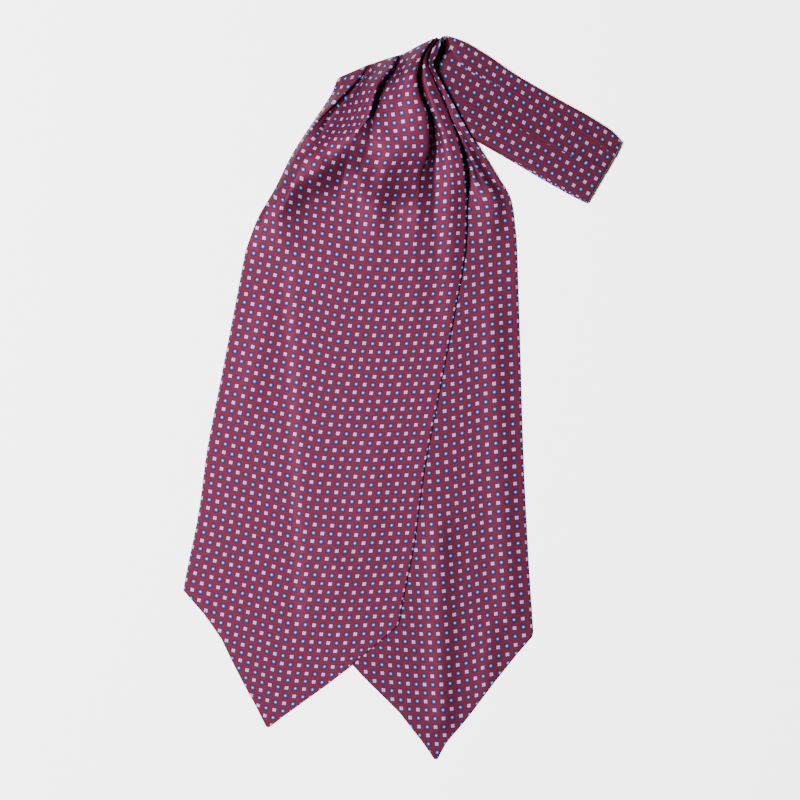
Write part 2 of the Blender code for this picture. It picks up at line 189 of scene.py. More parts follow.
# the motifs' shapes in repeats: each pair is where a colour starts to fade and where it ends
motif = {
    "squareness": 3.2,             # 2 would make the flowers round
    "petalAt": 0.112,              # each petal's middle, across and down from the flower's
    "red": (0.30, 0.62),
    "petals": (0.080, 0.135), "flowerMiddle": (0.05, 0.11), "flower": (0.205, 0.265),
    "heart": (0.02, 0.07), "heartShade": 0.15,
    "flowerRim": (0.27, 0.35), "flowerRimShade": 0.70,
    "blueRim": (0.285, 0.365), "blueRimShade": 0.92,
    "blueField": (0.195, 0.275), "blueHalo": (0.09, 0.21), "blueDot": (0.035, 0.095),
}
# how the cloth takes the light, and its weave
weave = {
    "ribs": 72.0, "ribSlant": 0.86, "ribShade": 0.035,           # the twill's ribs
    "slubScale": 9.0, "slubDetail": 3.0, "slubShade": 0.30,      # uneven threads
    "cloudScale": 0.35, "cloudDetail": 2.0, "cloudShade": 0.22,  # slow change of the dye
    "bump": 0.25, "bumpDepth": 0.00006, "ribBump": 0.5, "slubBump": 1.6,
    "roughness": 0.56, "roughnessRange": 0.10,
    "lustre": 0.52,                                # silk's lustre has the dye's colour
    "specular": 0.06, "sheen": 0.02, "sheenRoughness": 0.35,
    "sheenTint": (0.95, 0.72, 0.82, 1.0),
}


def silkMaterial(name, toneAndShade):
    material = bpy.data.materials.new(name)
    material.use_nodes = True
    tree = material.node_tree
    tree.nodes.clear()

    def node(kind, **inputs):
        made = tree.nodes.new(kind)
        for key, value in inputs.items():
            setattr(made, key, value)
        return made

    def put(socket, value):
        if hasattr(value, "is_output"):
            tree.links.new(value, socket)
        else:
            socket.default_value = value

    def calc(operation, *values):
        made = node("ShaderNodeMath", operation=operation)
        for socket, value in zip(made.inputs, values):
            put(socket, value)
        return made.outputs[0]

    def fade(value, ends):
        # 1 below the first end, 0 above the second, soft between
        low, high = ends
        made = node("ShaderNodeMapRange", interpolation_type="SMOOTHSTEP")
        for key, amount in zip(("Value", "From Min", "From Max", "To Min", "To Max"),
                               (value, low, high, 1.0, 0.0)):
            put(made.inputs[key], amount)
        return made.outputs[0]

    def distance(x, y):
        return calc("SQRT", calc("ADD", calc("MULTIPLY", x, x), calc("MULTIPLY", y, y)))

    def blend(amount, first, second):
        made = node("ShaderNodeMix", data_type="RGBA")
        put(made.inputs[0], amount)
        for socket, value in ((made.inputs[6], first), (made.inputs[7], second)):
            put(socket, value if hasattr(value, "is_output") else (*value, 1.0))
        return made.outputs[2]

    # where in its cell of the print a point lies; every second cell has a blue dot
    place = node("ShaderNodeUVMap", uv_map="print").outputs[0]
    split = node("ShaderNodeSeparateXYZ")
    put(split.inputs[0], place)
    i, j = split.outputs[0], split.outputs[1]
    cellI, cellJ = calc("ROUND", i), calc("ROUND", j)
    u, v = calc("SUBTRACT", i, cellI), calc("SUBTRACT", j, cellJ)
    au, av = calc("ABSOLUTE", u), calc("ABSOLUTE", v)
    odd = calc("FLOORED_MODULO", calc("ADD", cellI, cellJ), 2.0)
    power = motif["squareness"]
    square = calc("ADD", calc("POWER", au, power), calc("POWER", av, power))
    square = calc("POWER", square, 1 / power)
    fromMiddle = distance(u, v)
    petalAt = motif["petalAt"]
    fromPetal = distance(calc("SUBTRACT", au, petalAt), calc("SUBTRACT", av, petalAt))

    # the print's colours scaled by the piece's tone, which for the rear blade and the band
    # holds painted shade
    look = {key: tuple(c * toneAndShade for c in colour) for key, colour in printLook.items()}
    clouds = node("ShaderNodeTexNoise")
    put(clouds.inputs["Vector"], place)
    clouds.inputs["Scale"].default_value = weave["cloudScale"]
    clouds.inputs["Detail"].default_value = weave["cloudDetail"]
    ground = blend(fade(fromMiddle, motif["red"]), look["groundRed"], look["ground"])
    cloudy = calc("MULTIPLY", clouds.outputs[0], weave["cloudShade"])
    ground = blend(cloudy, ground, look["groundRed"])

    petals, middle = fade(fromPetal, motif["petals"]), fade(fromMiddle, motif["flowerMiddle"])
    flower = calc("MULTIPLY", calc("MAXIMUM", petals, middle), fade(square, motif["flower"]))
    heart = calc("MULTIPLY", fade(fromMiddle, motif["heart"]), motif["heartShade"])
    flowerRim = calc("MULTIPLY", fade(square, motif["flowerRim"]), motif["flowerRimShade"])
    pinkCloth = blend(flowerRim, ground, look["navy"])
    pinkCloth = blend(flower, pinkCloth, blend(heart, look["petal"], look["petalShade"]))

    blueRim = calc("MULTIPLY", fade(square, motif["blueRim"]), motif["blueRimShade"])
    blueCloth = blend(blueRim, ground, look["navy"])
    blueCloth = blend(fade(square, motif["blueField"]), blueCloth, look["blue"])
    blueCloth = blend(fade(fromMiddle, motif["blueHalo"]), blueCloth, look["blueHalo"])
    blueCloth = blend(fade(fromMiddle, motif["blueDot"]), blueCloth, look["blueDot"])
    colour = blend(odd, pinkCloth, blueCloth)

    # the twill's fine slanting ribs, and slubs that dull or lift a few threads
    slant = calc("ADD", calc("MULTIPLY", i, weave["ribSlant"]), j)
    ribs = calc("SINE", calc("MULTIPLY", slant, weave["ribs"]))
    slub = node("ShaderNodeTexNoise")
    put(slub.inputs["Vector"], place)
    slub.inputs["Scale"].default_value = weave["slubScale"]
    slub.inputs["Detail"].default_value = weave["slubDetail"]
    uneven = calc("MULTIPLY", calc("SUBTRACT", slub.outputs[0], 0.5), weave["slubShade"])
    shade = calc("ADD", calc("MULTIPLY", ribs, weave["ribShade"]), uneven)
    tint = node("ShaderNodeHueSaturation")
    put(tint.inputs["Value"], calc("ADD", 1.0, shade))
    put(tint.inputs["Color"], colour)

    raised = calc("ADD", calc("MULTIPLY", ribs, weave["ribBump"]),
                  calc("MULTIPLY", slub.outputs[0], weave["slubBump"]))
    bump = node("ShaderNodeBump")
    bump.inputs["Strength"].default_value = weave["bump"]
    bump.inputs["Distance"].default_value = weave["bumpDepth"]
    put(bump.inputs["Height"], raised)
    shader = node("ShaderNodeBsdfPrincipled")
    put(shader.inputs["Base Color"], tint.outputs[0])
    put(shader.inputs["Normal"], bump.outputs[0])
    dull = calc("MULTIPLY", slub.outputs[0], weave["roughnessRange"])
    put(shader.inputs["Roughness"], calc("ADD", weave["roughness"], dull))
    shader.inputs["Metallic"].default_value = weave["lustre"]
    shader.inputs["Specular IOR Level"].default_value = weave["specular"]
    shader.inputs["Sheen Weight"].default_value = weave["sheen"]
    shader.inputs["Sheen Roughness"].default_value = weave["sheenRoughness"]
    shader.inputs["Sheen Tint"].default_value = weave["sheenTint"]
    output = node("ShaderNodeOutputMaterial")
    put(output.inputs["Surface"], shader.outputs[0])
    return material


# the front blade, on top
frontBlade = {
    "leftRepeat": -10,             # the print's i runs from -10 at the left edge to 16
    "toneAndShade": 0.58,                  # how light its silk is; the rear blade and the band take darker copies of it, as painted shade
    "edge": (                      # row, x, y of the left edge
        (-16, -111.0, 101.5), (-8, -119.7, 55.8), (0, -128.6, 9.9), (8, -137.6, -36.4),
        (16, -143.9, -82.3), (24, -153.1, -128.0), (28, -156.8, -151.2), (39, -166.6, -210.3),
    ),
    "row": (                       # repeats from the left edge, x, y
        (0, 0.0, 0.0), (10, 56.7, -12.9), (13, 73.5, -17.1), (16, 91.7, -18.5),
        (19, 109.2, -19.2), (22, 127.4, -18.5), (25, 144.9, -17.8), (26, 150.9, -17.5),
    ),
    "sagGrowth": 0.0075,           # the rows sag more, by this share, with each row down
    "tip": (                       # row, left end, right end in repeats from the left edge
        (25.3, 0.0, 26.0), (25.9, 0.8, 25.9), (27.4, 2.9, 24.3), (29.8, 5.4, 21.7),
        (32.2, 7.1, 19.3), (34.7, 9.0, 16.6), (37.1, 11.0, 14.2), (38.9, 12.4, 12.65),
    ),
    "foldLine": ((-29.1, 227.2), (0.908, 0.418)),   # outer neck fold, a point and direction
    "seamDepth": 7.0,              # the blade ends this far under the fold, at the band
    "seamHeight": 0.6,
    "flatRows": (-14.5, 25.1, 1.5),    # the flat part's rows of the print: first, end, step
    "tipRows": 28,
    "sectionFaces": 6,             # from one section of the gathered part to the next
    "rearLeftSide": ((-73.6, 85.0), (-64.4, -158.5)),    # hidden edges of the rear blade,
    "rearLeftTip": (22.0, -253.0),                       # which the front blade climbs over
    "climb": (3.5, 8.0),           # from this far outside those edges, over this length
    "folds": (                     # in the flat part: from, to, half width, height
        (22, 84, 21, 55, 7, -0.1), (33, 84, 31, 50, 6, 0.5), (8, 84, 8, 62, 6, 0.4),
        (-42, -146, -44, -141, 6, -0.4), (-44, -135, -52, -100, 9, 0.5),
        (-95, 60, -108, 0, 10, 0.6), (-20, -40, -28, -110, 12, 0.4),
    ),
    "neckFolds": (                 # and on the gathered part
        (-7, 143, -1, 145, 6, -4.2), (-8, 161, -4, 161, 6, 1.0), (-20, 160, -19, 138, 5, 1.6),
        (-36, 156, -81, 116, 9, -3.0), (-62, 158, -98, 124, 7, 1.8),
        (-21, 183, 3, 172, 5, -2.0),
    ),
}
foldInward = np.array((0.418, -0.908))     # level, from the neck fold back over the blades
# how both blades go round the neck fold, to the seam where the band begins
neckTurn = {
    "lip": 1.3,                    # the turned edge's low side, this far back from the fold
    "lipDrop": 0.7,                # and this share of the way down
    "flat": 2.0,                   # pressed flat for this far before the seam
    "rows": (0.4, 1.2, 1.55),      # rows of the print passed by then: lip, flat, seam
    "faces": [4, 3, 2],            # between the fold and those three lines
}
# lines down the blade: left, crest, hollow 1, rise, fold 2, hollow 2, shoulder, plateau,
# fold 3, hollow 3, ridge, right; each section has its row of the print, then x, y, z and i
# of its points, then their own rows where these differ
frontSections = (
    (-16, ((-110, 102, 0.6, -10), (-103, 100, 1.2, -8.5), (-83.5, 96.5, 1.6, -5.1),
           (-69, 92.5, 2.1, -2.5), (-52, 88.5, 2.3, 0.5), (-37.5, 85.5, 2.3, 3),
           (-22.5, 84, 2.3, 5.5), (-7.5, 83.5, 2.4, 8), (7.5, 83.5, 2.5, 10.6),
           (22.5, 84, 2.2, 13.1), (31, 84, 2.6, 14.5), (40, 85, 1.9, 16)),
     ()),
    (-20, ((-102.5, 124, 0.6, -9.1), (-99, 123, 2.6, -8.5), (-89, 121, 4.4, -6.5),
           (-69, 116.5, 2.6, -3), (-48.5, 112, 2.3, 0.5), (-34, 109.5, 2.4, 3),
           (-22.5, 108, 3, 5), (-7.5, 107, 2.9, 7.5), (7.5, 106.5, 3.5, 10),
           (22.5, 107, 2.6, 12.5), (33, 108, 3.5, 14.3), (43, 108.5, 2.2, 16)),
     ()),
    (-24, ((-90, 146, 0.6, -7), (-87, 144.5, 4.8, -6.6), (-80, 141.5, 9, -5.3),
           (-66.5, 138, 4.2, -2.9), (-46.5, 135, 2.7, 0.5), (-32, 132.5, 3, 3),
           (-20, 131, 5.4, 5), (-5, 129.5, 3.4, 7.5), (10, 129, 5.2, 10),
           (21.5, 129.5, 3.7, 11.9), (32.5, 131, 4.9, 13.8), (43.5, 132, 3.1, 16)),
     ()),
    (-28, ((-78.5, 169, 0.6, -6.1), (-75.5, 167, 6, -5.4), (-69.5, 164, 10, -4.2),
           (-58, 159.5, 12, -2.2), (-42, 155, 5, 0.6), (-31, 153, 5.6, 2.5),
           (-18.5, 151, 13.2, 4.6), (-4.5, 151, 12.4, 7), (10, 151.5, 11.8, 9.5),
           (21, 152.5, 5.4, 11.5), (31.5, 154, 8.4, 13.6), (42, 155.5, 8.4, 16)),
     ()),
    (-32, ((-66.5, 188, 0.6, -6.2), (-64.5, 186.5, 7.4, -5.9), (-58.5, 182, 5.8, -4.6),
           (-49, 179, 11.2, -2.3), (-35.5, 178.5, 17.4, 0.8), (-24, 175, 15.4, 2.8),
           (-11, 173, 17.8, 5), (4, 173, 18.4, 7.5), (16.2, 173.5, 17.6, 9.7),
           (22.6, 176.5, 6.2, 11.8), (28.2, 177.5, 10.4, 13.9), (37, 179, 10, 15.9)),
     ()),
    (-35, ((-61, 196, 0.6, -6.2), (-58.5, 194.5, 8.2, -5.8), (-52.5, 194, 3.8, -4.9),
           (-43, 193, 8.8, -2.9), (-25, 193.5, 19.4, 2), (-22, 190, 14.8, 3.2),
           (-12, 189, 15.4, 5.1), (4, 191, 19, 7.8), (15.2, 193, 19.2, 9.8),
           (18.6, 192.8, 6.8, 12.9), (22.6, 194, 11.2, 14.1), (31.5, 194, 10, 15.8)),
     ()),
    (-38, ((-50.5, 212, 1.3, -6.3), (-43, 210.5, 9.6, -4.3), (-39.5, 208, 4.2, -2.7),
           (-35, 209.5, 8.4, -1.7), (-20.5, 211, 19.4, 1.8), (-18, 208, 9.2, 3.6),
           (-12, 207.5, 12, 5.4), (1.5, 209, 18.6, 7.9), (9.3, 209.5, 19, 9.5),
           (12.5, 209, 7.4, 13.7), (16.6, 211, 12, 14.5), (24.5, 211, 10.6, 15.8)),
     ()),
    (-39.6, ((-48.5, 216.5, 2.6, -6.2), (-38, 215.5, 9.8, -3.8), (-34.5, 213.8, 5.4, -1.9),
             (-30, 216, 9, -0.9), (-17.5, 217.5, 18.4, 1.7), (-15, 215, 9, 3.9),
             (-9.5, 217, 12.2, 5), (1, 221, 18, 7.2), (7.6, 221.5, 18.6, 8.6),
             (10.4, 220.8, 8, 13.8), (13.8, 221.6, 11.8, 14.6), (20, 221, 10.8, 15.7)),
     (-39.2, -39, -38.4, -38.8, -39.5, -39.1, -39.7, -40.2, -40, -39.5, -39.8, -39.4)),
    (-41.8, ((-47, 220.4, 3.6, -6.2), (-31.5, 222.8, 8.4, -3.1), (-28, 222.6, 5.4, -1.6),
             (-23.5, 225, 7, -0.6), (-9.5, 228, 14.4, 2), (-6.5, 226, 7.9, 4.4),
             (-2.5, 228.5, 9.8, 5.3), (4.5, 232, 14, 6.9), (10.8, 234.6, 15.6, 8.1),
             (11.8, 233.8, 8.4, 14.6), (13.6, 234.6, 10.8, 15.2), (15.2, 234.6, 10.2, 15.7)),
     (-39.9, -40, -39.9, -40.7, -41.9, -41.6, -42.1, -42.4, -42.2, -41.8, -41.8, -41.5)),
    (-44, ((-45.2, 222.9, 2.9, -6.2), (-25, 231.4, 4.6, -2.4), (-22, 232.4, 3.2, -1.4),
           (-18, 233.8, 3.6, -0.6), (-4.5, 237.6, 7.2, 1.8), (-1.5, 238.8, 3.8, 4.6),
           (2.5, 240.6, 4.8, 5.4), (10, 244.4, 6.8, 6.8), (20.2, 249, 8.8, 8.1),
           (21.2, 249.5, 5.6, 15), (22.2, 249.9, 6, 15.4), (23.2, 250.2, 5.4, 15.7)),
     (-40.5, -41.5, -42, -42.5, -43.8, -44.3, -44.2, -44.6, -44.4, -44, -44, -44)),
)
# the three knife pleats: the lines whose edges lie over, and how far each is tucked in each
# section, as a share of the cloth that is out of sight there
tuckLines = (1, 4, 8)
tuckShares = (
    (0, 0, 0), (0, 0, 0), (0, 0, 0), (0, 0, 0.2), (0.1, 0, 0.7), (0.5, 0.35, 1),
    (1, 1, 1), (1, 1, 1), (1, 1, 1), (0.25, 0.25, 0.25),
)
frontCounts = (6, 8, 10, 12, 8, 6, 8, 8, 8, 8, 8)      # faces between those lines
tuckCounts = [2, 3, 3, 3, 2, 2, 3, 4]                  # and across a tuck


def rightOf(x, y, start, end):
    # distance of a point to the right of a line, seen from its start
    runX, runY = end[0] - start[0], end[1] - start[1]
    return ((x - start[0]) * runY - (y - start[1]) * runX) / np.hypot(runX, runY)


def frontRest(x, y):
    # height of the front blade's middle: on the rear blade, down to the table outside it
    top, corner = frontBlade["rearLeftSide"]
    left, below = -rightOf(x, y, corner, top), rightOf(x, y, corner, frontBlade["rearLeftTip"])
    lead, length = frontBlade["climb"]
    t = np.clip((max(left, below) - lead) / length, 0, 1)
    return silk["onRear"] + (silk["onTable"] - silk["onRear"]) * (3*t**2 - 2*t**3)


def relief(folds, x, y):
    # soft ridges and troughs: each runs between two points, with its half width and height
    total = 0.0
    for x1, y1, x2, y2, width, height in folds:
        run = np.array((x2 - x1, y2 - y1))
        t = np.clip(((x - x1) * run[0] + (y - y1) * run[1]) / (run @ run), 0, 1)
        away = math.hypot(x - x1 - t * run[0], y - y1 - t * run[1])
        total += height * math.exp(-(away / width) ** 2)
    return total


def frontPlace(i, j):
    # a point of the flat part, from its place in the print
    edge = alongTable(frontBlade["edge"], j)
    sag = 1 + frontBlade["sagGrowth"] * max(j, 0)
    along, fall = alongTable(frontBlade["row"], i - frontBlade["leftRepeat"])
    x, y = edge + (along, fall * sag)
    z = frontRest(x, y) + relief(frontBlade["folds"], x, y)
    return (x, y, z, i, j - 0.5 * fall * (sag - 1) / silk["repeat"])


def underFold(edge, foldPoint, depth, height):
    # carries the blade round its neck fold: lip, flat and seam, from its edge
    lip, flat, seam = edge.copy(), edge.copy(), edge.copy()
    lip[:, :2] += foldInward * neckTurn["lip"]
    lip[:, 2] -= neckTurn["lipDrop"] * (edge[:, 2] - height)
    run = (foldPoint - edge[:, :2]) @ foldInward + depth
    seam[:, :2] += run[:, None] * foldInward
    seam[:, 2] = height
    flat[:, :3] = seam[:, :3]
    flat[:, :2] -= foldInward * neckTurn["flat"]
    for line, rows in zip((lip, flat, seam), neckTurn["rows"]):
        line[:, 4] -= rows
    return [lip, flat, seam]


def gatheredRows(blade, across):
    # the gathered part, from the band's seam round the neck fold and down to the flat part
    across = across + underFold(across[-1], np.array(blade["foldLine"][0]),
                                blade["seamDepth"], blade["seamHeight"])
    counts = [blade["sectionFaces"]] * (len(across) - len(neckTurn["faces"]) - 1)
    return smoothAlong(across, counts + neckTurn["faces"])[::-1]


def flatRows(blade, place, iValues):
    # the rows of the flat part and of the point below it
    rows = [[place(i, j) for i in iValues] for j in np.arange(*blade["flatRows"])]
    shares = (iValues - iValues[0]) / (iValues[-1] - iValues[0])
    tip = np.array(blade["tip"])
    for j in np.linspace(tip[0, 0], tip[-1, 0], blade["tipRows"]):
        start, end = [np.interp(j, tip[:, 0], tip[:, k]) + blade["leftRepeat"] for k in (1, 2)]
        rows.append([place(start + (end - start) * s, j) for s in shares])
    return np.array(rows)


def withTucks(section, shares):
    # adds each knife pleat's rounded edge and the cloth tucked back under it
    out, radius = [], silk["foldRadius"]
    for k, point in enumerate(section):
        out.append(point)
        if k not in tuckLines:
            continue
        after, share = section[k+1], shares[tuckLines.index(k)]
        run = unit((point - section[k-1])[:2])
        gap = after - point
        hidden = gap[3] * silk["repeat"]       # cloth in the pleat, by its print
        apart = np.linalg.norm(gap[:3])
        depth = min(math.sqrt(max(hidden**2 - apart**2, 0)) / 2, silk["tuckMost"])
        drop = max(-gap[2], 0.5)               # down to the cloth beside the pleat
        low = min(2 * radius, 0.4 * drop)      # down to the underside of its edge
        # share of the gap crossed, distance back under, height lost, share of the print
        for along, back, fall, printed in (
                (0.1, -radius, low / 2, 0.05), (0.1, 0.2, low, 0.12),
                (0.3, depth * 0.55, 0.44 * drop, 0.30), (0.45, depth - 0.4, 0.47 * drop, 0.44),
                (0.5, depth, 0.54 * drop, 0.5), (0.55, depth - 0.4, 0.63 * drop, 0.56),
                (0.7, depth * 0.5, 0.76 * drop, 0.7)):
            flat = point + gap * printed
            tucked = point + gap * along
            tucked[:2] -= run * back
            tucked[2] = point[2] - fall
            tucked[3:] = point[3:] + gap[3:] * printed
            out.append(flat + (tucked - flat) * share)
    return np.array(out)


def makeFrontBlade():
    sections = []
    for (j, points, own), shares in zip(frontSections, tuckShares):
        rows = own if own else [j] * len(points)
        section = np.array([(x, y, z, i, row) for (x, y, z, i), row in zip(points, rows)])
        sections.append(withTucks(section, shares))
    for p in sections[0]:
        p[:2] = frontPlace(p[3], p[4])[:2]
    counts = []
    for k, count in enumerate(frontCounts):
        counts += tuckCounts if k in tuckLines else [count]
    neck = gatheredRows(frontBlade, [smoothAcross(s, counts) for s in sections])
    for p in neck.reshape(-1, 5):
        p[2] += relief(frontBlade["neckFolds"], p[0], p[1])
    grid = np.concatenate((neck, flatRows(frontBlade, frontPlace, neck[-1][:, 3])))
    grid[:, :, 2] = np.maximum(grid[:, :, 2], silk["onTable"])
    return clothShell("front_cloth", grid, silk["plyShow"])


# the rear blade, beneath; the same keys as for the front blade
rearBlade = {
    "leftRepeat": -21,             # i runs from -21 at the left edge to 5 at the right edge
    "rightRepeat": 5,
    # painted shade: the same silk as the front blade, darker for the weaker light on the rear
    # blade
    "toneAndShade": 0.52,
    "edge": (                      # row, x, y of the right edge
        (-22, 78.7, 100.4), (-10, 80.9, 29.1), (2, 83.0, -42.4), (14, 86.5, -113.8),
        (23, 90.0, -166.5), (36, 95.0, -243.6),
    ),
    "row": (                       # repeats from the right edge, x, y
        (0, 0.0, 0.0), (2, -12.4, -1.4), (5, -30.6, -4.2), (8, -47.4, -8.4),
        (11, -65.6, -11.2), (14, -83.1, -11.2), (17, -100.6, -9.8), (20, -118.1, -8.4),
        (23, -135.2, -6.3), (26, -152.0, -3.5),
    ),
    "tip": (
        (21.1, 0.0, 26.0), (23.1, 2.1, 26.0), (25.0, 4.1, 24.1), (26.8, 5.9, 22.4),
        (30.4, 9.7, 18.65), (33.8, 12.35, 15.1), (35.75, 13.6, 13.9),
    ),
    "foldLine": ((-21.4, 225.4), (0.908, 0.418)),
    "seamDepth": 7.5,
    "seamHeight": 3.4,
    "flatRows": (-22.5, 20.6, 1.5),
    "tipRows": 28,
    "sectionFaces": 7,
    "folds": (
        (24, -95, 27, -225, 8, 1.6), (62, 60, 66, -40, 9, 0.9), (68, -60, 74, -150, 9, 1.0),
        (60, -165, 58, -205, 7, 0.8),
    ),
}
# lines: left, fold 1, hollow 1, fold 2, hollow 2, floor, ridge, crease, right
rearSections = (
    (-24, ((-71.5, 106, 0.6, -21), (-44.5, 104.5, 0.7, -16.3), (-40, 104.5, 0.6, -15.5),
           (-2.5, 104, 0.7, -9), (1.5, 104, 0.6, -8.3), (48, 108, 0.8, 0),
           (61, 110, 1.2, 2.2), (71, 111.5, 0.8, 3.8), (78, 112.5, 0.6, 5))),
    (-28, ((-57, 127.5, 0.6, -21), (-40, 128, 0.9, -18), (-36.5, 128.5, 0.7, -15),
           (-5, 129.5, 0.9, -9.5), (-2, 130, 0.7, -7.5), (47, 131.5, 1, 0.3),
           (64, 133.5, 2.8, 3), (70.5, 134.5, 1.3, 4.2), (74.8, 135.5, 1, 5))),
    (-32, ((-47, 148.5, 0.6, -21), (-32.5, 150, 1.4, -18), (-29.5, 150.5, 0.8, -14.5),
           (-4, 151, 1.6, -10), (-1, 152, 0.8, -7), (48.4, 153.7, 0.8, 1.9),
           (52.4, 154.5, 5.2, 2.7), (58.2, 156, 2.4, 3.8), (63, 157, 2.2, 4.8))),
    (-36, ((-39.5, 172, 0.8, -21), (-26, 172.5, 4.2, -18.5), (-23.5, 173, 1.8, -14),
           (-4, 174, 4.4, -10.5), (-1, 175, 1.8, -6), (38.6, 177.6, 1.4, 2.2),
           (41, 178, 6.4, 3.5), (44.6, 178.4, 5.8, 4.4), (48, 179, 5.9, 5.1))),
    (-38.8, ((-34, 187, 2.4, -21), (-22, 188, 6, -19), (-19, 189, 3.6, -13.5),
             (-4, 190.5, 6.2, -11), (-1, 191.5, 4.2, -4), (29.8, 193, 6, 2.6),
             (32, 193.4, 7.4, 3.8), (35.2, 194, 8.2, 4.7), (39, 194.5, 8.4, 5.2))),
    (-41.5, ((-29, 203, 4, -21), (-19, 204.5, 7.2, -19), (-16.5, 205, 5.4, -13.5),
             (-3, 206.5, 7.6, -11), (-0.5, 207.5, 6, -3.5), (20, 210, 5.7, 2.2),
             (24.6, 211, 6.8, 3.2), (27, 211.5, 9.8, 4.3), (29, 212.5, 10.2, 5))),
    (-44, ((-23.5, 215, 6, -21), (-15, 217.5, 7.4, -19.5), (-12, 218, 6.6, -13),
           (-1, 219, 7.4, -11), (1.5, 221.5, 6.6, -3), (12, 224, 6.6, 1),
           (16.4, 225.6, 6.6, 3.4), (19.6, 226.3, 10.4, 4.3), (21.4, 226.6, 13, 5))),
    (-45.4, ((-22.3, 219.5, 5.9, -21), (-14, 222, 7.2, -19.5), (-11.3, 222.6, 6.3, -13),
             (-0.5, 225, 6.2, -11), (2, 227, 6, -3), (11.5, 229.6, 6.2, 1),
             (15.2, 231.2, 6.6, 3.4), (18.1, 231.6, 9.2, 4.3), (19.8, 231.7, 15.4, 5))),
    (-46.5, ((-21.8, 222, 5.7, -21), (-13.5, 224.6, 6.6, -19.5), (-10.9, 225.4, 6, -13),
             (-0.2, 228.4, 5.8, -11), (2.2, 230, 5.6, -3), (12, 233.8, 5.8, 1),
             (17, 236.2, 6.2, 3.4), (20, 237.2, 8.4, 4.3), (22.8, 237.6, 15.6, 5))),
    (-47.5, ((-21.5, 224.5, 5.6, -21), (-13, 227, 5.9, -19.5), (-10.5, 228, 5.7, -13),
             (0, 231.5, 5.5, -11), (2.5, 232.6, 5.6, -3), (12, 238, 5.6, 1),
             (18.6, 242.6, 5.6, 3.4), (24, 247.4, 7.4, 4.3), (26.4, 250, 11, 5))),
)
rearCounts = (5, 4, 8, 4, 16, 10, 8, 6)


def rearPlace(i, j):
    fromRight = rearBlade["rightRepeat"] - i
    x, y = alongTable(rearBlade["edge"], j) + alongTable(rearBlade["row"], fromRight)
    return (x, y, silk["onTable"] + relief(rearBlade["folds"], x, y), i, j)


def makeRearBlade():
    sections = [np.array([(x, y, z, i, j) for x, y, z, i in points])
                for j, points in rearSections]
    neck = gatheredRows(rearBlade, [smoothAcross(s, rearCounts) for s in sections])
    grid = np.concatenate((neck, flatRows(rearBlade, rearPlace, neck[-1][:, 3])))
    grid[:, :, 3] += 1         # blue where the front blade has pink
    grid[:, :, 2] = np.maximum(grid[:, :, 2], silk["onTable"])
    return clothShell("rear_cloth", grid)


# the neckband, folded in half at the centre back
neckband = {
    # painted shade: the same silk again, darker still for the weaker light and sheen on the
    # band
    "toneAndShade": 0.44,
    # top edge, two pleat lines and low edge at stations along the band
    "stations": (
        ((40.7, 248.4), (43.4, 229.0), (30.0, 213.2), (18.6, 198.5)),
        ((56.0, 239.7), (59.3, 220.3), (46.2, 204.2), (36.1, 188.0)),
        ((75.5, 226.3), (78.1, 210.4), (62.4, 195.7), (50.8, 179.6)),
        ((104.2, 209.5), (101.9, 196.6), (87.7, 182.7), (75.3, 165.6)),
        ((130.1, 195.0), (123.6, 184.5), (111.0, 170.9), (101.2, 150.4)),
        ((144.7, 185.4), (138.3, 174.0), (128.6, 162.4), (118.0, 141.1)),
        ((151.3, 178.3), (146.2, 168.0), (139.6, 156.8), (127.6, 136.3)),
    ),
    "upperStart": (29.5, 252.2),           # where each run starts, at the neck fold's top end
    "lowerStart": (27.4, 252.3),
    "upperSeam": (55.6, 25.7, 6.0),        # the other lines' starts, along the blades' seams
    "lowerSeam": (59.0, 30.0, 7.0),
    "seamGap": 0.9,
    "upperFloor": 2.3,                     # underside of the upper run
    "lowerTop": 2.0,                       # upper side of the lower run
    "pressed": 1.9,                        # thickness where the blades press on the band
    "lowerProud": 1.0,                     # the lower run shows past the upper one's low edge
    "bendReach": 1.4,                      # the fold at the centre back stands out this far
    "bendAngles": (72, 54, 36, 18, 0, -18, -36, -54, -72),     # degrees round that fold
    "faces": 9,                            # along the band between stations
}
